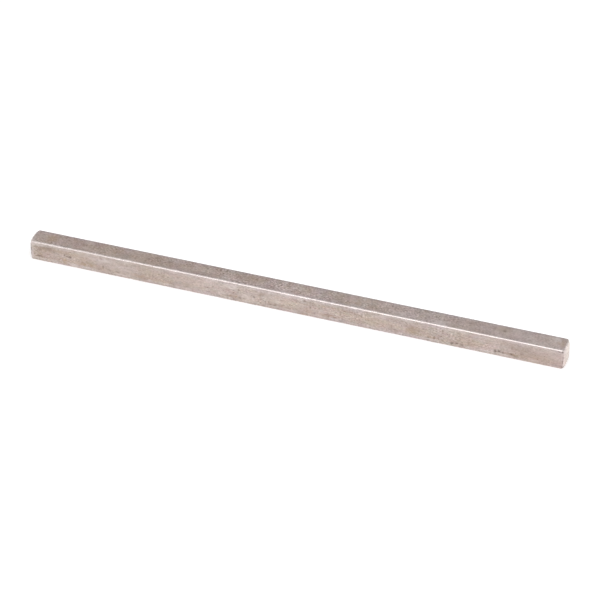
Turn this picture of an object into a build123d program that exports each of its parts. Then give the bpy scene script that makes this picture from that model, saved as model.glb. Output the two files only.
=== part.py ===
from build123d import *

import os

# A square parallel key, in millimetres: one piece of cold-drawn key steel that locks a hub to a shaft.
# It lies along X on the face that goes down into the shaft's keyseat. The origin is the centre of that
# face, +Z points out of the shaft towards the hub, and the two driving sides look along -Y and +Y.

key_width = 6.35  # 1/4 in, from one driving side to the other
key_height = 6.35  # 1/4 in, from the face in the keyseat to the face under the hub
key_length = 165.1  # 6 1/2 in, from end face to end face
long_edge_radius = 0.22  # left by the drawing die along the four long edges
end_edge_radius = 1.0  # tumbled round the outline of each cut end

with BuildPart() as parallel_key:
    with BuildSketch(Plane.YZ.offset(-key_length / 2)) as drawn_section:
        Rectangle(key_width, key_height, align=(Align.CENTER, Align.MIN))
        fillet(drawn_section.vertices(), long_edge_radius)
    extrude(amount=key_length)

    # The whole outline of each end is rounded over, so the long edges blend into it at the corners.
    end_faces = parallel_key.faces().filter_by(Axis.X)
    fillet(end_faces.edges(), end_edge_radius)

parallel_key.part.label = "parallel_key"
os.makedirs("parts", exist_ok=True)
export_step(parallel_key.part, "parts/parallel_key.step")
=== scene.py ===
import math

import bpy
import numpy as np
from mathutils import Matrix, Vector


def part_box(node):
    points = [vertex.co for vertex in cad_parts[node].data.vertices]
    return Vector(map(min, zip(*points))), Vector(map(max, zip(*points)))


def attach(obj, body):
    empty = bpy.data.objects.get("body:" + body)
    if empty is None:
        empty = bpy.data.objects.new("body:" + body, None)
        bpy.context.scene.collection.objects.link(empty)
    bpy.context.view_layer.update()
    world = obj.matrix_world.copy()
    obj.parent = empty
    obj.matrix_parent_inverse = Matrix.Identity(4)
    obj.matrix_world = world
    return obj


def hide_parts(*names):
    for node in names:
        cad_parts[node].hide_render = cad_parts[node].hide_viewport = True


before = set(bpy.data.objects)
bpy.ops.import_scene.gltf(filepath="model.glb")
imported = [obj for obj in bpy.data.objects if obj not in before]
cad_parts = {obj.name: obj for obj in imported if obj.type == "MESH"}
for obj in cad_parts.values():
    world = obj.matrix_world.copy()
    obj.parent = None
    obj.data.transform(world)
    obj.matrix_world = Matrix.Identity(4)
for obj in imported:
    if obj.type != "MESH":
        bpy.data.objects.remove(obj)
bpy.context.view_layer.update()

# A square parallel key of drawn steel, lying on a pale floor. Lengths in the dictionaries are in millimetres.

mm = 0.001
lowCorner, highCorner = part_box("parallel_key")
keyMiddle = (lowCorner + highCorner) / 2
keyLength, keyWidth, keyHeight = (highCorner - lowCorner) / mm
draw = np.random.default_rng(635)  # every random mark comes from this one, in order


keySkin = {
    "longEdgeRadius": 0.22,
    "endDepth": 1.0,  # how far from an end face the outline starts to draw in
    # how far it draws in, at the front, back, top and bottom of each end face
    "leftIn": (1.2, 1.1, 0.6, 1.1),
    "rightIn": (0.7, 1.2, 0.4, 0.9),
    "endCorners": (1.9, 1.15),  # corner radius of the left and the right end face
    "cornerPower": 1.5,  # the larger, the closer to the end face the corners widen
    "leftSkew": 0.06,  # how much shorter the key is along its front than along its back, at the left end
    "edgeSteps": 6,  # round each long edge
    "topSteps": 28,  # across each side, finest where the key is looked at most
    "frontSteps": 28,
    "bottomSteps": 12,
    "backSteps": 22,
    "faceSteps": 18,  # from the middle of an end face to its edge
    "roundSteps": 12,  # round the end edge
    "bodySteps": 800,  # from one end edge to the other
}


def sectionTrack(skin):
    # Going round the section, S slides from corner to corner (+-1, +-1) and N is the outward normal, which
    # turns a quarter circle at each corner. An outline with half sides h and corner radius c is then
    # (h - c) S + c N.
    corners = np.array(((1, 1), (-1, 1), (-1, -1), (1, -1)), float)
    turn = np.linspace(0, math.pi / 2, skin["edgeSteps"] + 1)
    track, normal = [], []
    for k, side in enumerate(("topSteps", "frontSteps", "bottomSteps", "backSteps")):
        arc = np.stack((np.cos(turn + k * math.pi / 2), np.sin(turn + k * math.pi / 2)), 1)
        slide = np.linspace(0, 1, skin[side] + 1)[1:-1, None]
        track.append(np.repeat(corners[k:k + 1], len(turn), 0))
        track.append(corners[k] + slide * (corners[k - 3] - corners[k]))
        normal += [arc, np.repeat(arc[-1:], len(slide), 0)]
    return np.concatenate(track), np.concatenate(normal)


def lengthTrack(skin):
    # From the middle of the left end face to the middle of the right one, one entry a row: x, how far the
    # outline has drawn in at the front, back, top and bottom, its corner radius, its scale, and how far its
    # normal leans towards +x.
    # At lean p an end edge of depth D and draw R is D - D sin p from the end and drawn in by R - R cos p, and
    # its corners have widened by the power of sin p that the skin gives.
    depth, edgeRadius = skin["endDepth"], skin["longEdgeRadius"]
    faceScale = np.linspace(0, 1, skin["faceSteps"] + 1)[1:]
    edgeLean = np.linspace(math.pi / 2, 0, skin["roundSteps"] + 1)[1:]
    endLean = np.concatenate((0 * faceScale + math.pi / 2, edgeLean))
    endScale = np.concatenate((faceScale, 0 * edgeLean + 1))
    endX = depth - depth * np.sin(endLean) - keyLength / 2
    leftIn, rightIn = (np.outer(1 - np.cos(endLean), skin[name]) for name in ("leftIn", "rightIn"))
    widening = np.array(skin["endCorners"])[:, None] - edgeRadius
    leftCorner, rightCorner = edgeRadius + widening * np.sin(endLean) ** skin["cornerPower"]
    bodyX = np.linspace(endX[-1], -endX[-1], skin["bodySteps"] + 1)[1:-1]
    body = np.zeros(len(bodyX))
    x = np.concatenate((endX, bodyX, -endX[::-1]))
    drawnIn = np.concatenate((leftIn, np.zeros((len(bodyX), 4)), rightIn[::-1]))
    corner = np.concatenate((leftCorner, body + edgeRadius, rightCorner[::-1]))
    scale = np.concatenate((endScale, body + 1, endScale[::-1]))
    lean = np.concatenate((-endLean, body, endLean[::-1]))
    return x, drawnIn, corner, scale, lean


def keySurface(skin):
    # The section's outline carried along the key: rows along x and columns round the section. The normal is
    # (sin p, cos p N), where p is the lean. The left end is skewed by its share of the way to the front.
    track, sideNormal = sectionTrack(skin)
    x, drawnIn, corner, scale, lean = (row.reshape(len(row), 1, -1) for row in lengthTrack(skin))
    front, back, top, bottom = np.split(drawnIn, 4, -1)
    half = (np.array((keyWidth, keyHeight)) - np.concatenate((front + back, top + bottom), -1)) / 2
    middle = np.concatenate((front - back, keyHeight + bottom - top), -1) / 2
    outline = ((half - corner) * track + corner * sideNormal) * scale + middle
    skew = skin["leftSkew"] * np.maximum(-np.sin(lean), 0) * (0.5 - outline[..., :1] / keyWidth)
    points = np.concatenate((x + skew, outline), -1)
    normals = np.concatenate((np.sin(lean) + 0 * outline[..., :1], np.cos(lean) * sideNormal), -1)
    return points, normals


def waves(points, length, count=32, stretch=(1, 1, 1)):
    # A smooth random field of about unit size: cosine waves in random directions, added up. Each is about
    # as long as length, and drawn out by stretch along x, y and z.
    heading = draw.normal(size=(count, 3))
    heading /= np.linalg.norm(heading, axis=1, keepdims=True)
    pitch = 2 * math.pi / (length * np.exp(draw.normal(0, 0.3, count)))
    phase = draw.uniform(0, 2 * math.pi, count)
    field = np.zeros(points.shape[:-1])
    for k in range(count):
        field += np.cos(points @ (heading[k] * pitch[k] / stretch) + phase[k])
    return field * math.sqrt(2 / count)


def ease(value, start, end):
    # 0 up to start, 1 past end, and 3 t t - 2 t t t in between, where t is the share of the way
    t = np.clip((value - start) / (end - start), 0, 1)
    return t * t * (3 - 2 * t)


def fade(distance, strength, reach, power=2):
    # that strength at distance 0, falling off as exp(-d ** power), where d is the distance over the reach
    return strength * np.exp(-(distance / reach) ** power)


def bend(points, length, amount):
    # The points, each moved by three smooth random fields: a round mark worked out on these gets a ragged
    # outline.
    return points + amount * np.stack([waves(points, length) for axis in "xyz"], -1)


def stamp(points, bent, marks):
    # The strongest of many soft spots at each point: strength times exp(-d d), where d is the distance of
    # the bent point from the spot's middle, counted in its half length along the key and in its half
    # breadth across it. Past 2.5 half lengths nothing is left, and bending moves no point by more than 1.
    field = np.zeros(points.shape[:-1])
    rowX = points[:, 0, 0]
    for x, y, z, long, broad, strength in marks:
        first, last = np.searchsorted(rowX, (x - 2.5 * long - 1, x + 2.5 * long + 1))
        away = bent[first:last] - (x, y, z)
        square = (away[..., 0] / long) ** 2 + (away[..., 1] ** 2 + away[..., 2] ** 2) / broad ** 2
        field[first:last] = np.maximum(field[first:last], strength * np.exp(-square))
    return field


# Each mark: along the key from its middle, across, half length, half breadth, strength. Across is the height
# on the front side and the place from the back edge (+) to the front edge (-) on the top side.
frontMarks = {
    "pits": (
        (-79.9, 1.5, 0.4, 0.22, 0.4), (-79.2, 1.65, 0.8, 0.25, 0.85), (-71.2, 3.75, 0.25, 0.25, 1.0),
        (-70.4, 3.5, 0.28, 0.22, 0.8), (-69.5, 3.4, 0.6, 0.28, 1.0), (-58.8, 2.4, 0.24, 0.45, 0.6),
        (-57.0, 1.76, 0.6, 0.2, 0.5), (-54.2, 1.6, 0.7, 0.22, 0.6), (-41.1, 3.8, 0.3, 0.3, 0.4),
        (-40.0, 3.4, 0.22, 0.3, 0.4), (-37.4, 1.5, 0.5, 0.28, 0.1), (-36.3, 0.95, 0.45, 0.24, 0.6),
        (-18.5, 1.6, 0.9, 0.2, 0.35), (-15.6, 1.4, 0.3, 0.27, 0.6), (-11.3, 2.8, 0.34, 0.24, 0.9),
        (-6.2, 1.47, 0.5, 0.22, 0.6), (-4.9, 1.4, 0.5, 0.22, 0.5), (4.4, 5.05, 0.4, 0.25, 1.0),
        (6.1, 3.4, 0.22, 0.36, 0.7), (11.7, 5.05, 0.22, 0.22, 0.5), (11.8, 1.5, 0.24, 0.5, 0.35),
        (13.5, 1.35, 0.45, 0.22, 0.5), (31.9, 1.7, 0.6, 0.28, 0.5), (42.0, 1.3, 0.32, 0.22, 0.6),
        (44.0, 1.55, 0.6, 0.22, 0.6), (45.9, 2.7, 0.28, 0.26, 0.9), (49.2, 1.15, 0.44, 0.33, 1.0),
        (50.6, 1.35, 0.34, 0.27, 1.0), (52.2, 1.2, 0.55, 0.25, 0.8), (62.2, 1.47, 0.4, 0.45, 1.0),
        (63.3, 1.62, 0.44, 0.28, 1.0), (64.4, 1.4, 0.3, 0.26, 0.8), (66.9, 1.55, 0.34, 0.3, 0.75),
        (80.6, 0.9, 1.2, 0.3, 0.2), (81.0, 5.85, 0.4, 0.2, 0.9), (82.0, 5.85, 0.45, 0.26, 1.2),
    ),
    "stain": (
        (-79.5, 2.8, 1.7, 1.1, 0.3), (-79.0, 1.6, 2.0, 0.6, 0.55), (-77.5, 4.4, 2.9, 1.0, 0.4),
        (-77.0, 3.2, 7.0, 5.0, 0.2), (-74.5, 2.0, 2.5, 1.0, 0.5), (-71.0, 1.8, 2.4, 0.7, 0.7),
        (-64.0, 2.3, 3.6, 0.6, 1.0), (-47.5, 1.7, 3.0, 0.6, 1.0), (-37.5, 1.5, 1.8, 0.7, 0.6),
        (-18.0, 1.6, 2.8, 0.5, 0.5), (-9.0, 4.4, 2.4, 0.9, 0.8), (12.0, 1.5, 2.4, 0.7, 1.0),
        (20.0, 2.0, 30.0, 2.0, 0.1), (20.0, 1.5, 4.0, 0.4, 0.3), (32.0, 1.7, 1.8, 0.6, 0.8),
        (37.0, 2.8, 2.6, 1.6, 0.8), (43.0, 1.5, 2.6, 0.5, 0.5), (55.5, 2.1, 2.0, 0.6, 0.8),
        (68.0, 1.5, 2.6, 0.5, 1.0), (75.0, 2.8, 14.0, 5.0, 0.4), (76.0, 1.8, 5.0, 0.7, 0.5),
    ),
    "bloomAndSheen": (
        (-63.0, 5.2, 4.0, 0.7, 0.7), (-59.4, 1.8, 2.4, 0.8, 0.2), (-58.0, 4.8, 4.5, 1.0, 0.9),
        (-52.0, 3.6, 10.0, 4.0, 0.4), (-51.0, 3.6, 3.2, 1.4, 0.5), (-26.0, 3.7, 12.0, 4.0, 0.2),
        (-25.0, 4.2, 3.6, 1.0, 0.4), (-21.0, 2.3, 3.0, 0.8, 0.45), (-18.5, 4.6, 2.6, 1.0, 0.9),
        (-13.6, 2.1, 2.4, 0.8, 1.1), (-11.6, 1.9, 0.7, 0.9, 1.5), (-8.0, 3.3, 8.0, 3.0, 0.35),
        (27.0, 4.8, 2.5, 0.8, 0.4), (60.0, 3.4, 2.4, 1.6, 0.1), (78.0, 3.8, 3.2, 1.2, 0.4),
    ),
    "ochre": (
        (-79.2, 2.2, 1.5, 0.9, 0.5), (-71.0, 1.9, 1.7, 0.7, 0.5), (-64.5, 2.3, 3.2, 0.5, 0.4),
        (-59.4, 1.7, 2.4, 0.8, 0.25), (-44.0, 1.5, 2.0, 0.4, 0.3), (-17.5, 1.5, 2.5, 0.4, 0.3),
        (-13.1, 1.8, 2.2, 0.8, 0.25), (12.0, 1.5, 2.0, 0.5, 0.4), (37.5, 2.4, 2.0, 1.0, 0.2),
        (68.0, 1.6, 2.0, 0.4, 0.3),
    ),
    "shade": (
        (-79.0, 3.9, 1.7, 0.7, 0.7), (-79.0, 0.6, 3.0, 0.25, 0.8), (-78.0, 3.4, 5.0, 3.0, 0.2),
        (-76.8, 4.6, 3.1, 1.0, 0.8), (-64.0, 2.3, 3.0, 0.5, 0.25), (-47.5, 1.7, 3.0, 0.6, 0.2),
        (-35.0, 1.9, 4.0, 0.9, 0.28), (-9.0, 4.4, 2.4, 0.9, 0.45), (-3.2, 1.9, 2.5, 0.9, 0.2),
        (7.0, 4.3, 5.0, 1.3, 0.2), (12.0, 1.5, 2.4, 0.7, 0.4), (18.5, 4.6, 5.5, 1.2, 0.4),
        (32.0, 1.7, 1.8, 0.6, 0.4), (33.0, 4.4, 2.5, 1.2, 0.25), (37.0, 2.8, 2.6, 1.6, 0.25),
        (49.6, 2.0, 2.6, 0.8, 0.3), (55.5, 2.2, 2.0, 0.6, 0.3), (64.5, 2.2, 2.0, 0.8, 0.4),
        (68.0, 1.5, 2.6, 0.5, 0.7), (69.5, 4.2, 6.0, 1.8, 0.6), (78.0, 1.4, 5.0, 1.0, 0.1),
        (80.3, 5.8, 1.3, 0.35, 0.3),
    ),
}
topMarks = {
    "pits": (
        (-66.2, 0.2, 0.4, 0.4, 0.35), (-38.8, 0.0, 0.35, 0.35, 0.1), (-27.5, -2.1, 0.5, 0.3, 0.3),
        (-27.2, 1.2, 0.3, 0.3, 0.4), (7.9, 0.45, 0.3, 0.27, 0.6), (53.4, 1.0, 0.4, 0.4, 0.4),
        (63.7, 0.6, 0.55, 0.45, 0.55), (82.0, 2.9, 0.5, 0.6, 0.3), (82.2, -0.9, 0.2, 0.2, 0.4),
        (82.35, 1.6, 0.22, 0.25, 0.5),
    ),
    "stain": (
        (-76.0, 0.3, 2.4, 1.8, 0.8), (-72.5, 1.5, 1.2, 0.9, 0.3), (-56.0, 0.4, 3.2, 1.7, 0.9),
        (-48.0, 0.0, 30.0, 5.0, 0.55), (-44.0, 0.6, 2.6, 2.0, 0.8), (-32.0, 0.6, 2.2, 1.5, 0.6),
        (-15.0, 1.2, 2.2, 1.1, 0.8), (14.0, 0.4, 2.4, 1.4, 0.5), (20.0, -0.4, 1.2, 1.4, 1.0),
        (24.5, -0.9, 1.6, 1.2, 0.8), (54.0, 0.8, 1.5, 1.4, 1.0), (63.5, 0.8, 2.0, 1.7, 1.0),
        (80.8, 0.5, 0.9, 1.8, 1.0),
    ),
    "bloomAndSheen": (
        (-80.7, -0.3, 1.8, 2.3, 0.35), (-64.3, 1.8, 2.4, 0.9, 0.3), (-64.3, -1.0, 2.0, 1.2, 0.2),
        (-38.5, 1.7, 2.5, 0.9, 0.2), (-38.0, 1.7, 2.4, 0.9, 0.6), (-27.9, -0.8, 0.55, 0.5, 1.5),
        (-3.2, 1.9, 0.6, 0.9, 1.0), (8.4, -0.2, 0.7, 0.8, 1.0), (8.5, 1.6, 2.2, 1.1, 0.3),
        (19.5, 1.8, 4.0, 0.9, 0.35), (32.0, 0.0, 14.0, 5.0, 0.3), (33.0, -1.5, 2.2, 1.1, 0.9),
        (34.6, -0.9, 1.2, 0.9, 1.0), (37.0, -1.6, 4.0, 1.0, 0.6), (38.0, 1.6, 3.0, 1.1, 0.35),
        (45.0, -1.5, 4.0, 1.6, 1.0), (45.0, 1.7, 3.0, 1.2, 0.7), (65.6, 1.6, 0.8, 0.45, 0.3),
        (72.0, 0.0, 26.0, 5.0, 0.65), (74.5, -1.5, 3.0, 1.2, 0.9), (75.0, 1.6, 2.5, 1.0, 1.2),
        (78.9, 1.8, 1.6, 1.4, 1.3),
    ),
    "ochre": (
        (-72.8, 1.7, 1.6, 0.7, 0.4), (-69.5, 1.6, 2.4, 0.9, 0.55), (-66.3, 0.2, 0.8, 0.8, 0.3),
        (-55.5, 0.2, 2.0, 1.0, 0.3), (4.2, 0.5, 1.0, 1.2, 0.3), (17.0, -1.2, 1.5, 0.7, 0.3),
        (47.0, 1.6, 4.0, 1.2, 0.22), (64.4, 1.6, 2.5, 1.0, 0.18), (74.3, 1.6, 3.0, 1.2, 0.18),
        (81.0, 0.5, 0.9, 2.0, 0.4),
    ),
    "shade": (
        (-71.0, 2.3, 6.0, 0.6, 0.3), (-68.0, -2.2, 8.0, 0.7, 0.25), (-55.0, -2.3, 9.0, 0.7, 0.3),
        (-54.4, 1.6, 2.4, 1.1, 0.35), (-52.5, -0.8, 5.0, 1.4, 0.4), (-52.0, 0.0, 13.0, 5.0, 0.14),
        (-30.0, -2.3, 5.0, 0.7, 0.7), (-28.5, -1.9, 3.0, 0.9, 0.75), (-23.0, 1.7, 2.5, 1.0, 0.35),
        (-8.0, 1.7, 2.2, 0.9, 0.15), (0.0, -2.2, 90.0, 0.5, 0.2), (50.0, 1.4, 2.0, 1.2, 0.4),
        (55.0, -1.5, 5.0, 1.2, 0.25), (55.0, 1.3, 5.0, 1.3, 0.28), (59.5, -1.5, 2.4, 1.0, 0.35),
        (59.8, 1.4, 2.0, 1.2, 0.4), (64.0, 1.2, 2.2, 1.5, 0.2), (69.0, 1.6, 2.5, 1.2, 0.2),
    ),
}

keyWear = {
    # how marks get ragged outlines: the length of the waves that bend them, and by how much
    "fineBend": (0.7, 0.05),
    "coarseBend": (2.0, 0.3),
    # More marks of a kind at random: how many, the smallest and largest half length, and the sides that they
    # lie on (0 front, 1 back, 2 bottom, 3 top).
    "stray": {
        "pits": ((120, 0.15, 0.3, (0, 3)), (280, 0.18, 0.45, (1, 2))),
        "stain": ((60, 1.0, 4.0, (1, 2)),),
        "bloomAndSheen": ((40, 0.4, 2.5, (1, 2)),),
    },
    "strayAlong": 0.49,  # the share of the length that they keep to on either side of the middle
    "strayAcross": 0.86,  # and the share of the width or the height
    "strayBreadth": (0.5, 1.0),  # half breadth over half length
    "strayStrength": (0.25, 0.8),
    # the two powers of the beta curves by which they lie low down, and by which most of them are small
    "lowDown": (1.2, 1.8),
    "mostlySmall": (1, 3),
    # smooth random fields: length, how many waves are added up, how far they are drawn out along x, y and z
    "waves": {
        "bands": (4.0, 32, (1.6, 1, 1)),
        "rubbing": (7.0, 24, (1.5, 1, 1)),
        "edgeLine": (1.5, 40, (1.6, 1, 1)),
        "cutLine": (0.9, 48, (1, 1, 1)),
        "tearing": (0.65, 48, (1, 1, 2.2)),
        "hollows": (9.0, 24, (2, 1, 1)),
        "ripples": (1.4, 40, (1.6, 1, 1)),
        "cutFace": (0.8, 40, (1, 1, 2)),
    },
    # painted highlights, as pale bands along the front: their middle below the top, strength and half breadth
    "highlightBands": ((0.75, 0.36, 0.4), (5.45, 0.42, 0.3)),
    "bandWander": 0.6,
    "frontStarts": (0.5, 0.1),  # the front side fades in between these depths under it
    "topStarts": (0.3, 0.05),  # and so does the top side
    # dents across the long edges: how many, how far in, their smallest and largest half length, their half
    # breadth, and their smallest and largest strength
    "nicks": 60,
    "nickInset": 0.1,
    "nickLength": (0.15, 0.5),
    "nickBreadth": 0.3,
    "nickStrength": (0.3, 1.0),
    # Each edge by the sides that meet there (-1, 0 or 1 along x, y and z): how far from it the steel is
    # rubbed bright, with a painted highlight on it that is strongest along the front top edge, how bright,
    # and the power by which that falls off.
    "rubbedAndHighlitEdges": (
        ((0, -1, 1), 0.3, 0.97, 4), ((0, -1, -1), 0.3, 0.3, 2), ((0, 1, 1), 0.3, 0.15, 2),
        ((0, 1, -1), 0.36, 0.4, 2), ((1, 0, 1), 0.36, 0.42, 2), ((1, -1, 0), 0.5, 0.3, 2),
        ((1, 0, -1), 0.4, 0.6, 2), ((1, 1, 0), 0.4, 0.4, 2), ((-1, 0, 1), 0.45, 0.1, 2),
        ((-1, -1, 0), 1.1, 0.35, 2), ((-1, 0, -1), 0.4, 0.6, 2), ((-1, 1, 0), 0.5, 0.4, 2),
    ),
    "rubbedAndHighlitShape": (1, 0.68, 1.4),  # above 1, the bright line is narrower along x, y or z
    "edgeWander": 0.03,
    "rubbing": 1.05,  # 1 and over leaves the edges as bright as they are above
    "rubbingWander": 0.03,
    "dulledByNicks": 0.25,
    "dulledAlong": ((-45, -75, 0.1), (-40, -12, 0.14)),  # from here, to here and beyond, and by how much
    # painted highlights where the front top edge begins and ends and along the top of the right end face, as
    # places in space with their sizes and strength
    "edgeEndGlints": (
        (-81.6, -3.0, 6.3, 0.4, 0.25, 0.6), (-80.0, -3.05, 6.32, 1.4, 0.31, 1.0),
        (81.9, -2.8, 6.3, 0.5, 0.42, 1.0), (82.25, 0.2, 6.35, 0.19, 2.8, 1.0),
    ),
    # how far in from the ends the bright cut steel goes, low down and along the top, and between which depths
    # below the top it goes over from one to the other
    "cutReach": (0.18, 0.55),
    "cutRise": (0.9, 0.3),
    "cutRagged": 0.1,  # how far the line where it stops wanders
    "cutSoftness": 0.1,
    # how far from the ends the upright edges are fully torn, and where that has faded out, and between which
    # depths below the top it sets in
    "tornReach": (0.66, 1.1),
    "tornBelowTop": (0.2, 0.8),
    "tornWaves": (0.1, 1.2),  # the wave heights at which tearing starts and is complete
    "tornPits": 0.55,
    # painted shade along the back top edge and on the front's left upright edge, where the rounding turns
    # away
    "backEdgeShade": (0.83, 0.5),  # strength and reach of the black along the back top edge
    "backEdgeShadeEnds": 3,  # how far from the ends it has its full strength
    "leftEdgeShade": (0.75, 0.6, 4),  # strength, reach and power of the black on the front's left upright edge
    "leftEdgeShadeOut": 0.1,  # how far beyond the end its middle lies
    "edgeFilm": (0.35, 1.2),  # strength and reach of the bluish film along the long edges
    "leftFilm": (0.9, 1.0),  # and at the left end
    "filmOffCut": 0.8,
    # patches of the film, and places with a pink cast
    "bluish": (
        (-35.0, -3.175, 3.2, 5.0, 3.0, 0.3), (-36.0, 1.6, 6.35, 5.0, 1.2, 0.3),
        (17.0, 1.8, 6.35, 4.0, 1.2, 0.3),
    ),
    "pinkish": (
        (77.0, -3.175, 3.5, 10.0, 5.0, 0.7), (70.0, 0.0, 6.35, 14.0, 5.0, 0.7),
        (81.0, 0.2, 6.35, 1.8, 2.5, 1.3),
    ),
    # depths of the relief, and the share by which hollows, ripples and the cut go up and down from theirs
    "reliefWander": 0.5,
    "hollowDepth": 0.005,
    "rippleDepth": 0.001,
    "pitDepth": 0.03,
    "nickDepth": 0.035,
    "cutDepth": 0.02,
}


def scatter(count, smallest, largest, sides):
    # Soft spots at random on some of the sides: even along the key, more of them low down, and most of them
    # small. Across a side, a share from 0 to 1 is spread over the part of it that they keep to.
    side = draw.choice(sides, count)
    x = draw.uniform(-keyWear["strayAlong"], keyWear["strayAlong"], count) * keyLength
    across = (draw.beta(*keyWear["lowDown"], count) - 0.5) * keyWear["strayAcross"]
    y = np.select((side == 0, side == 1), (-keyWidth / 2, keyWidth / 2), across * keyWidth)
    z = np.select((side == 2, side == 3), (0, keyHeight), (across + 0.5) * keyHeight)
    long = smallest + (largest - smallest) * draw.beta(*keyWear["mostlySmall"], count)
    broad = long * draw.uniform(*keyWear["strayBreadth"], count)
    return list(zip(x, y, z, long, broad, draw.uniform(*keyWear["strayStrength"], count)))


def allMarks(kind):
    # the marks of that kind on the front and the top side, as places in space, and then the stray ones
    marks = [(x, -keyWidth / 2, z, *sizes) for x, z, *sizes in frontMarks[kind]]
    marks += [(x, y, keyHeight, *sizes) for x, y, *sizes in topMarks[kind]]
    for row in keyWear["stray"].get(kind, ()):
        marks += scatter(*row)
    return marks


def edgeNicks(count):
    # soft spots at random a little in from the four long edges, even along the key
    inset = keyWear["nickInset"]
    x = draw.uniform(-keyWear["strayAlong"], keyWear["strayAlong"], count) * keyLength
    y = draw.choice((-1, 1), count) * (keyWidth / 2 - inset)
    z = np.where(draw.random(count) < 0.5, inset, keyHeight - inset)
    long = draw.uniform(*keyWear["nickLength"], count)
    broad = np.full(count, keyWear["nickBreadth"])
    return list(zip(x, y, z, long, broad, draw.uniform(*keyWear["nickStrength"], count)))


def keyWaves(points, name):
    # the smooth random field of that name
    return waves(points, *keyWear["waves"][name])


def highlightBands(points):
    # Painted highlight: the strongest of the pale bands at each point of the front side. Each fades with the
    # distance up or down from its middle, and a smooth random field makes it brighter here and duller there
    # along the key.
    start, end = keyWear["frontStarts"]
    onFront = ease(-points[..., 1], keyWidth / 2 - start, keyWidth / 2 - end)
    shine = onFront * np.clip(1 + keyWear["bandWander"] * keyWaves(points, "bands"), 0, 2)
    below = keyHeight - points[..., 2]
    return np.max([shine * fade(below - middle, *sizes) for middle, *sizes in keyWear["highlightBands"]], 0)


def rubbedSteelAndHighlight(points, finely, nicks):
    # Rubbed steel with a painted highlight: the brightest of the edges and of the painted glints at the ends
    # of the front top edge at each point. An edge fades with the distance from it, which wanders a little,
    # and it is duller along some stretches and at the nicks.
    rubbing = keyWear["rubbing"] + keyWear["rubbingWander"] * keyWaves(points, "rubbing")
    rubbing -= keyWear["dulledByNicks"] * nicks
    for start, end, amount in keyWear["dulledAlong"]:
        rubbing -= amount * ease(points[..., 0], start, end)
    limits = np.array((keyLength, keyWidth, keyHeight)) / 2
    toMiddle = points - (0, 0, keyHeight / 2)
    wander = keyWear["edgeWander"] * keyWaves(points, "edgeLine")
    field = np.zeros(points.shape[:-1])
    for sides, reach, strength, power in keyWear["rubbedAndHighlitEdges"]:
        away = np.abs(sides) * (limits - np.array(sides) * toMiddle) * keyWear["rubbedAndHighlitShape"]
        distance = np.maximum(np.linalg.norm(away, axis=-1) + wander, 0)
        field = np.maximum(field, fade(distance, strength, reach, power))
    return np.maximum(field * np.clip(rubbing, 0, 1), stamp(points, finely, keyWear["edgeEndGlints"]))


def cutSteel(points, fromEnd):
    # 1 on the cut steel of the ends, 0 past a ragged line that lies further in along the top
    low, high = keyWear["cutReach"]
    start, end = keyWear["cutRise"]
    reach = low + (high - low) * ease(points[..., 2], keyHeight - start, keyHeight - end)
    reach += keyWear["cutRagged"] * keyWaves(points, "cutLine")
    return 1 - ease(fromEnd, reach - keyWear["cutSoftness"], reach + keyWear["cutSoftness"])


def edgeShadeAndFilm(points, fromEnd, cut):
    # Painted shade fades with the distance from the back top edge and from the front's left upright edge. A
    # bluish film fades with the distance from the nearest long edge and from the left end, and has a few
    # patches more.
    alongX, alongY, alongZ = np.moveaxis(points, -1, 0)
    backEdge = np.hypot(keyWidth / 2 - alongY, keyHeight - alongZ)
    leftEdge = np.hypot(keyWidth / 2 + alongY, keyLength / 2 + alongX + keyWear["leftEdgeShadeOut"])
    paintedEdgeShade = fade(backEdge, *keyWear["backEdgeShade"]) * ease(fromEnd, 0, keyWear["backEdgeShadeEnds"])
    paintedEdgeShade = np.maximum(paintedEdgeShade, fade(leftEdge, *keyWear["leftEdgeShade"]))
    longEdge = np.hypot(keyWidth / 2 - np.abs(alongY), keyHeight / 2 - np.abs(alongZ - keyHeight / 2))
    leftFilm = fade(alongX + keyLength / 2, *keyWear["leftFilm"]) * (1 - keyWear["filmOffCut"] * cut)
    film = np.maximum(fade(longEdge, *keyWear["edgeFilm"]), leftFilm)
    return paintedEdgeShade, np.maximum(film, stamp(points, points, keyWear["bluish"]))


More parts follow.
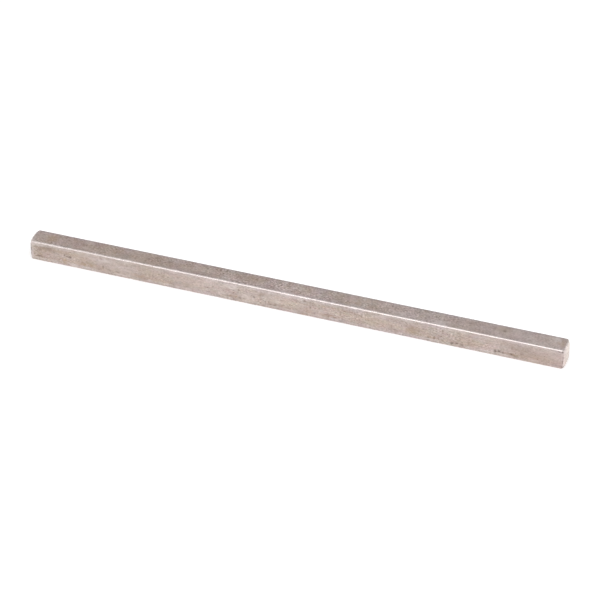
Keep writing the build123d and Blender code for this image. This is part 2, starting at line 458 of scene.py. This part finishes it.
def wearFields(points):
    # Each kind of wear and painted light as a number at each point: the listed kinds (pits, brown stain, pale
    # bloom, ochre and shade) with painted highlight bands on the front, rubbed edges with a painted
    # highlight, cut ends, painted shade at two edges, a bluish film, a pink cast, and where the top side is.
    # The nicks come apart from them, because no colour goes by them.
    alongZ = points[..., 2]
    fromEnd = keyLength / 2 - np.abs(points[..., 0])
    finely, coarsely = bend(points, *keyWear["fineBend"]), bend(points, *keyWear["coarseBend"])
    fields = {}
    for kind in frontMarks:
        fields[kind] = stamp(points, finely if kind == "pits" else coarsely, allMarks(kind))
    # painted highlight: the pale bands along the front go in with the pale bloom
    fields["bloomAndSheen"] = np.maximum(fields["bloomAndSheen"], highlightBands(points))
    nicks = stamp(points, finely, edgeNicks(keyWear["nicks"]))
    # rubbed edges, with a painted highlight along them and painted glints at the ends of the front top edge
    fields["rubbedAndHighlight"] = rubbedSteelAndHighlight(points, finely, nicks)
    fields["cut"] = cutSteel(points, fromEnd)
    # Where the cut has torn the upright edges there are pits between pale crumbs.
    torn = keyWaves(points, "tearing") * (1 - ease(fromEnd, *keyWear["tornReach"])) * (1 - fields["cut"])
    torn *= ease(keyHeight - alongZ, *keyWear["tornBelowTop"])
    fields["pits"] = np.maximum(fields["pits"], keyWear["tornPits"] * ease(torn, *keyWear["tornWaves"]))
    fields["bloomAndSheen"] = np.maximum(fields["bloomAndSheen"], ease(-torn, *keyWear["tornWaves"]))
    # painted shade along the back top edge and the front's left upright edge, and a bluish film
    fields["paintedEdgeShade"], fields["film"] = edgeShadeAndFilm(points, fromEnd, fields["cut"])
    fields["pink"] = stamp(points, points, keyWear["pinkish"])
    start, end = keyWear["topStarts"]
    fields["topSide"] = ease(alongZ, keyHeight - start, keyHeight - end)
    return fields, nicks


def keyRelief(points, fields, nicks):
    # How far the steel lies below the drawn surface: hollows, ripples, pits, nicks and the rough cut at the
    # ends, added up.
    wander = keyWear["reliefWander"]
    low = keyWear["hollowDepth"] * (1 + wander * keyWaves(points, "hollows"))
    low += keyWear["rippleDepth"] * (1 + wander * keyWaves(points, "ripples"))
    low += keyWear["pitDepth"] * fields["pits"] + keyWear["nickDepth"] * nicks
    low += keyWear["cutDepth"] * fields["cut"] * (1 + wander * keyWaves(points, "cutFace"))
    return np.maximum(low, 0)


def joinGrid(rows, columns):
    # quads between neighbouring rows and columns, which close round the section, and a fan at each end's
    # middle point
    row, column = np.meshgrid(np.arange(rows - 1), np.arange(columns), indexing="ij")
    here, beside = row * columns + column, row * columns + (column + 1) % columns
    quads = np.stack((here, beside, beside + columns, here + columns), -1).reshape(-1, 4)
    ring = np.arange(columns)
    following, lastRow = (ring + 1) % columns, (rows - 1) * columns
    leftFan = np.stack((0 * ring + rows * columns, following, ring), 1)
    rightFan = np.stack((0 * ring + rows * columns + 1, lastRow + ring, lastRow + following), 1)
    return quads.tolist() + leftFan.tolist() + rightFan.tolist()


def makeKey():
    # the surface, let in along its normals by the relief, with each kind of wear as a number at its points
    points, normals = keySurface(keySkin)
    fields, nicks = wearFields(points)
    print("wear:", ", ".join(fields))
    worn = points - normals * keyRelief(points, fields, nicks)[..., None]
    endMiddles = worn[(0, -1), :].mean(1)
    vertices = np.concatenate((worn.reshape(-1, 3), endMiddles)) * mm
    mesh = bpy.data.meshes.new("steel_key")
    mesh.from_pydata(vertices, [], joinGrid(*points.shape[:2]))
    mesh.shade_smooth()
    for name, field in fields.items():
        values = np.concatenate((field.ravel(), field[(0, -1), :].mean(1)))
        mesh.attributes.new(name, "FLOAT", "POINT").data.foreach_set("value", values.astype(np.float32))
    key = bpy.data.objects.new("steel_key", mesh)
    bpy.context.scene.collection.objects.link(key)
    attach(key, "root")
    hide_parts("parallel_key")
    print("key skin:", len(mesh.polygons), "faces")
    return key


def linear(red, green, blue):
    # a 0-255 screen colour as the linear colour that nodes want
    level = np.array((red, green, blue)) / 255
    curve = np.where(level <= 0.04045, level / 12.92, ((level + 0.055) / 1.055) ** 2.4)
    return (*curve.tolist(), 1.0)


def grey(level):
    # a linear colour with that level in each channel
    return (level, level, level, 1.0)


def feed(tree, socket, value):
    # a socket takes another node's output as a link, and anything else as its own value
    if isinstance(value, bpy.types.NodeSocket):
        tree.links.new(value, socket)
    else:
        socket.default_value = value


def blend(tree, share, under, over, way="MIX"):
    # under where share is 0, over where it is 1; with MULTIPLY, under times over
    node = tree.nodes.new("ShaderNodeMix")
    node.data_type, node.blend_type = "RGBA", way
    for place, value in ((0, share), (6, under), (7, over)):
        feed(tree, node.inputs[place], value)
    return node.outputs[2]


def fit(tree, value, lowIn, highIn, lowOut=0.0, highOut=1.0):
    # a straight line from lowOut at lowIn to highOut at highIn, and level beyond them
    node = tree.nodes.new("ShaderNodeMapRange")
    for place, number in enumerate((value, lowIn, highIn, lowOut, highOut)):
        feed(tree, node.inputs[place], number)
    return node.outputs[0]


def maths(tree, way, *values):
    # one of Blender's sums on the values
    node = tree.nodes.new("ShaderNodeMath")
    node.operation = way
    for place, value in enumerate(values):
        feed(tree, node.inputs[place], value)
    return node.outputs[0]


def times(tree, *values):
    # the product of all the values
    product = values[0]
    for value in values[1:]:
        product = maths(tree, "MULTIPLY", product, value)
    return product


def wear(tree, name):
    # a kind of wear, read from the mesh
    node = tree.nodes.new("ShaderNodeAttribute")
    node.attribute_name = name
    return node.outputs["Fac"]


# Each pattern in the steel: the size of its lumps, how many finer layers it has and how strong they are, how
# far it is drawn out along x, y and z, its twist, its shift, the two noise levels between which it goes from
# one side to the other, and what it is on those two sides.
steelGrain = {
    "patch": (4.5, 2, 0.5, (2.2, 2.8, 0.6), 0.4, 0.0, (0.36, 0.64), (0.0, 1.0)),
    "cloud": (7.0, 1, 0.5, (2.2, 2.4, 0.6), 0.0, 4.4, (0.35, 0.65), (0.0, 1.0)),
    "mottle": (1.5, 3, 0.6, (1.7, 1.8, 0.55), 0.3, 3.1, (0.3, 0.7), (0.0, 1.0)),
    "fleck": (0.34, 2, 0.6, (1.9, 1.2, 0.8), 0.0, 7.7, (0.3, 0.7), (0.0, 1.0)),
    "rust": (1.3, 3, 0.6, (1.5, 1.4, 0.7), 0.3, 8.6, (0.33, 0.67), (0.0, 1.0)),
    "blush": (2.2, 2, 0.5, (1.6, 1.4, 0.7), 0.4, 6.2, (0.35, 0.65), (0.0, 1.0)),
    "hatch": (0.45, 1, 0.5, (0.6, 9, 9), 0.0, 2.2, (0.3, 0.7), (0.0, 1.0)),
    "hatched": (9.0, 1, 0.5, (1, 1, 1), 0.0, 9.1, (0.5, 0.66), (0.0, 1.0)),  # where the hatch shows
    "flecked": (5.0, 1, 0.5, (1.8, 1, 1), 0.0, 3.3, (0.35, 0.65), (0.5, 1.0)),  # where the flecks show most
    "satin": (0.9, 3, 0.6, (2, 1, 1), 0.0, 5.3, (0.3, 0.7), (0.36, 0.5)),  # the roughness
    "bumps": (0.35, 3, 0.6, (1.5, 1, 1), 0.0, 1.9, (0.0, 1.0), (0.0, 1.0)),
}


def drawnOut(tree, size, stretch, shift):
    # the Object coordinates over size times stretch, plus shift
    where = tree.nodes.new("ShaderNodeTexCoord")
    turn = tree.nodes.new("ShaderNodeMapping")
    turn.inputs["Location"].default_value = (shift, shift, shift)
    turn.inputs["Scale"].default_value = [1 / (size * mm * share) for share in stretch]
    tree.links.new(where.outputs["Object"], turn.inputs["Vector"])
    return turn.outputs["Vector"]


def grain(tree, name):
    # Blender's noise on those coordinates, as a straight line between the pattern's two noise levels
    size, detail, rough, stretch, twist, shift, levels, sides = steelGrain[name]
    node = tree.nodes.new("ShaderNodeTexNoise")
    node.inputs["Scale"].default_value = 1.0
    node.inputs["Detail"].default_value = detail
    node.inputs["Roughness"].default_value = rough
    node.inputs["Distortion"].default_value = twist
    feed(tree, node.inputs["Vector"], drawnOut(tree, size, stretch, shift))
    return fit(tree, node.outputs["Fac"], *levels, *sides)


def grit(tree, every, size, shift):
    # Sparse small dots, one round each point of a random lattice with that spacing: 1 up to 0.4 of the size
    # from it, and 0 past the size.
    node = tree.nodes.new("ShaderNodeTexVoronoi")
    node.inputs["Scale"].default_value = 1.0
    feed(tree, node.inputs["Vector"], drawnOut(tree, every, (1, 1, 1), shift))
    return fit(tree, node.outputs["Distance"], size / every, 0.4 * size / every)


def tinted(level, brown):
    # a colour to multiply with: that much lighter or darker, and that much browner, or bluer below 0
    return (level * (1 + brown), level, level * (1 - brown), 1.0)


steelLook = {
    "warm": linear(184, 166, 153),
    "cool": linear(186, 169, 162),
    # kinds of wear, painted highlight and painted shade: their colour, and how much of it shows at most
    "cut": (linear(229, 216, 203), 0.85),
    "stain": (linear(166, 143, 121), 0.8),
    # pale bloom, also the colour of the painted highlight bands on the front
    "bloomAndSheen": (linear(214, 204, 201), 0.8),
    "ochre": (linear(172, 141, 96), 0.6),
    # painted shade along the back top edge and the front's left upright edge
    "paintedEdgeShade": (linear(120, 113, 117), 0.6),
    "shade": (linear(120, 104, 95), 0.6),
    # rubbed metal, and the painted highlight along the edges
    "rubbedAndHighlight": (linear(255, 245, 242), 0.95),
    "pits": (linear(84, 68, 60), 0.9),
    # colours that multiply the others, where the field of that name is 1; the top side's is a painted tint of
    # the light reflected there
    "topSide": (1.0, 0.98, 0.995, 1.0),
    "film": (0.88, 0.955, 1.13, 1.0),
    "pink": (1.016, 0.958, 1.008, 1.0),
    # and on the two sides of each pattern
    "cloud": (tinted(0.915, 0.01), tinted(1.08, -0.01)),
    "mottle": (tinted(0.80, 0.025), tinted(1.18, -0.025)),
    "fleck": (tinted(0.38, 0.07), tinted(1.76, -0.06)),
    "rust": (tinted(1.0, 0.028), tinted(1.0, -0.028)),
    "blush": ((1.013, 0.98, 1.01, 1.0), (0.987, 1.02, 0.99, 1.0)),
    "hatch": (tinted(0.93, 0.0), tinted(1.06, 0.0)),
    "flecksBySide": (0.71, 1.0),  # how strong the flecks are, on the other sides and on the top
    # how the mottle breaks up stains and blooms: its two levels, and how much of them it leaves there
    "brokenStain": (0.2, 0.7, 0.4, 1.0),
    "brokenBloom": (0.2, 0.7, 0.7, 1.0),
    # dots: spacing, size, shift
    "paleDots": (1.4, 0.24, 4.0),
    "paleBySide": (0.35, 0.7),  # how strong the pale ones are, on the other sides and on the top
    "darkDots": (1.6, 0.2, 0.0),
    "darkDotsShow": 0.45,
    "rubbedSmoother": 0.18,  # by how much the rubbed edges are less rough
    "bumpHeight": 0.006,
}


def coat(tree, colour, name, *shares):
    # that kind of wear's colour over the other, by the wear times the shares times what shows at most
    paint, most = steelLook[name]
    return blend(tree, times(tree, wear(tree, name), *shares, most), colour, paint)


def steelColour(tree):
    # two base colours in patches, tinted by a painted reflection on the top side, multiplied by each
    # pattern's colours, under one coat after another of wear, painted highlight and painted shade
    onTop = wear(tree, "topSide")
    mottle = grain(tree, "mottle")
    flecks = times(tree, grain(tree, "flecked"), fit(tree, onTop, 0, 1, *steelLook["flecksBySide"]))
    colour = blend(tree, grain(tree, "patch"), steelLook["warm"], steelLook["cool"])
    # painted reflection: the top side tinted by the light it reflects
    colour = blend(tree, onTop, colour, steelLook["topSide"], "MULTIPLY")
    colour = coat(tree, colour, "cut")
    patterns = (
        ("cloud", grain(tree, "cloud"), 1.0), ("mottle", mottle, 1.0),
        ("fleck", grain(tree, "fleck"), flecks), ("rust", grain(tree, "rust"), 1.0),
        ("blush", grain(tree, "blush"), 1.0), ("hatch", grain(tree, "hatch"), grain(tree, "hatched")),
    )
    for name, pattern, amount in patterns:
        colour = blend(tree, amount, colour, blend(tree, pattern, *steelLook[name]), "MULTIPLY")
    for name in ("film", "pink"):
        colour = blend(tree, wear(tree, name), colour, steelLook[name], "MULTIPLY")
    brokenStain = fit(tree, mottle, *steelLook["brokenStain"])
    colour = coat(tree, colour, "stain", brokenStain)
    colour = coat(tree, colour, "bloomAndSheen", fit(tree, mottle, *steelLook["brokenBloom"]))
    colour = coat(tree, colour, "ochre", brokenStain)
    pale = times(tree, grit(tree, *steelLook["paleDots"]), fit(tree, onTop, 0, 1, *steelLook["paleBySide"]))
    colour = blend(tree, pale, colour, steelLook["bloomAndSheen"][0])
    # painted shade at two edges, shade marks, and rubbed edges with their painted highlight
    for name in ("paintedEdgeShade", "shade", "rubbedAndHighlight"):
        colour = coat(tree, colour, name)
    dots = times(tree, grit(tree, *steelLook["darkDots"]), steelLook["darkDotsShow"])
    pitColour, most = steelLook["pits"]
    return blend(tree, maths(tree, "MAXIMUM", dots, times(tree, wear(tree, "pits"), most)), colour, pitColour)


def makeSteel():
    # bare metal with that colour, less rough where it is rubbed or carries the painted highlight, and with
    # fine bumps
    steel = bpy.data.materials.new("drawn_steel")
    steel.use_nodes = True
    tree = steel.node_tree
    shader = tree.nodes["Principled BSDF"]
    shader.inputs["Metallic"].default_value = 1.0
    feed(tree, shader.inputs["Base Color"], steelColour(tree))
    smoother = times(tree, wear(tree, "rubbedAndHighlight"), steelLook["rubbedSmoother"])
    feed(tree, shader.inputs["Roughness"], maths(tree, "SUBTRACT", grain(tree, "satin"), smoother))
    bump = tree.nodes.new("ShaderNodeBump")
    bump.inputs["Strength"].default_value = 1.0
    bump.inputs["Distance"].default_value = steelLook["bumpHeight"] * mm
    feed(tree, bump.inputs["Height"], grain(tree, "bumps"))
    feed(tree, shader.inputs["Normal"], bump.outputs["Normal"])
    print("steel:", len(tree.nodes), "nodes")
    return steel


studio = {
    "azimuth": 19.655,  # degrees, from looking along +y towards looking along -x
    "elevation": 35.48,
    "distance": 941.7,
    "focalLength": 194.05,
    "sensorWidth": 36.0,
    "aimRight": 1.735,  # the aim point lies this far to the camera's right of the key's middle
    "aimDown": 0.655,
    "nearest": 10,  # nothing closer or further than these shows
    "furthest": 50000,
}


def makeCamera():
    # back points from the aim to the camera: (sin t cos r, -cos t cos r, sin r) for a turn t and a rise r
    turn, rise = math.radians(studio["azimuth"]), math.radians(studio["elevation"])
    back = Vector((math.sin(turn) * math.cos(rise), -math.cos(turn) * math.cos(rise), math.sin(rise)))
    right = Vector((math.cos(turn), math.sin(turn), 0))
    down = right.cross(back)
    lens = bpy.data.cameras.new("camera")
    lens.sensor_width = studio["sensorWidth"]
    lens.lens = studio["focalLength"]
    lens.clip_start, lens.clip_end = studio["nearest"] * mm, studio["furthest"] * mm
    camera = bpy.data.objects.new("camera", lens)
    aim = keyMiddle + (right * studio["aimRight"] + down * studio["aimDown"]) * mm
    camera.location = aim + back * studio["distance"] * mm
    camera.rotation_mode = "QUATERNION"
    camera.rotation_quaternion = (-back).to_track_quat("-Z", "Y")
    bpy.context.scene.collection.objects.link(camera)
    bpy.context.scene.camera = camera
    bpy.context.scene.view_settings.view_transform = "Standard"
    print("camera:", studio["focalLength"], "mm lens")


# Each lamp: its middle, its width and depth, and the brightness of its face, where white paper is 1.
lamps = {
    "overhead": ((100, -250, 610), (760, 620), 1.6),
    "front": ((-250, -700, 260), (400, 300), 0.7),
    "rightEnd": ((450, 560, 240), (300, 260), 1.2),
    "rear": ((-250, 650, 420), (400, 250), 0.5),
}


def makeLamps():
    # A face of brightness 1 gives pi watts a square metre, so a lamp's power is pi times that times its area.
    for name, (middle, (width, depth), level) in lamps.items():
        light = bpy.data.lights.new(name, "AREA")
        light.shape = "RECTANGLE"
        light.size, light.size_y = width * mm, depth * mm
        light.energy = level * math.pi * light.size * light.size_y
        holder = bpy.data.objects.new(name, light)
        holder.location = Vector(middle) * mm
        holder.rotation_mode = "QUATERNION"
        holder.rotation_quaternion = (keyMiddle - holder.location).to_track_quat("-Z", "Y")
        holder.visible_camera = False
        bpy.context.scene.collection.objects.link(holder)
    print("lamps:", ", ".join(lamps))


room = {
    "wall": 1.0,  # white up to the height where the wall ends, as the sine of the angle above the horizon
    "ceiling": 0.6,
    "wallEnds": 0.12,
    "ceilingStarts": 0.4,
}


def makeRoom():
    # white walls near the horizon under a soft grey ceiling, with a straight slope of brightness in between
    world = bpy.data.worlds.new("room")
    bpy.context.scene.world = world
    world.use_nodes = True
    tree = world.node_tree
    sky = tree.nodes["Background"]
    where = tree.nodes.new("ShaderNodeTexCoord")
    parts = tree.nodes.new("ShaderNodeSeparateXYZ")
    tree.links.new(where.outputs["Generated"], parts.inputs[0])
    sky.inputs["Color"].default_value = grey(1.0)
    heights, levels = (room["wallEnds"], room["ceilingStarts"]), (room["wall"], room["ceiling"])
    feed(tree, sky.inputs["Strength"], fit(tree, parts.outputs["Z"], *heights, *levels))
    print("room: walls", room["wall"], "and ceiling", room["ceiling"])


floorPaint = {
    "reach": 4000,
    "below": 0.02,
    "colour": grey(0.8),
    "glow": 0.35,  # added where the floor is seen, so that it shows white and keeps a soft shadow
}


def makeFloor():
    # a flat square under the key, in matt paint that also glows for rays from the camera, a mirror or glass
    reach, height = floorPaint["reach"] * mm, lowCorner.z - floorPaint["below"] * mm
    mesh = bpy.data.meshes.new("floor")
    square = [(x, y, height) for x, y in ((-reach, -reach), (reach, -reach), (reach, reach), (-reach, reach))]
    mesh.from_pydata(square, [], [(0, 1, 2, 3)])
    floor = bpy.data.objects.new("floor", mesh)
    bpy.context.scene.collection.objects.link(floor)
    paint = bpy.data.materials.new("pale_floor")
    paint.use_nodes = True
    tree = paint.node_tree
    tree.nodes.remove(tree.nodes["Principled BSDF"])
    matt = tree.nodes.new("ShaderNodeBsdfDiffuse")
    matt.inputs["Color"].default_value = floorPaint["colour"]
    rays = tree.nodes.new("ShaderNodeLightPath")
    seen = maths(tree, "MAXIMUM", rays.outputs["Is Camera Ray"], rays.outputs["Is Glossy Ray"])
    seen = maths(tree, "MAXIMUM", seen, rays.outputs["Is Transmission Ray"])
    glow = tree.nodes.new("ShaderNodeEmission")
    feed(tree, glow.inputs["Strength"], times(tree, seen, floorPaint["glow"]))
    both = tree.nodes.new("ShaderNodeAddShader")
    feed(tree, both.inputs[0], matt.outputs[0])
    feed(tree, both.inputs[1], glow.outputs[0])
    feed(tree, tree.nodes["Material Output"].inputs["Surface"], both.outputs[0])
    paint.cycles.emission_sampling = "NONE"
    mesh.materials.append(paint)
    print("floor:", floorPaint["reach"] * 2, "mm square")


key = makeKey()
key.data.materials.append(makeSteel())
makeRoom()
makeLamps()
makeFloor()
makeCamera()
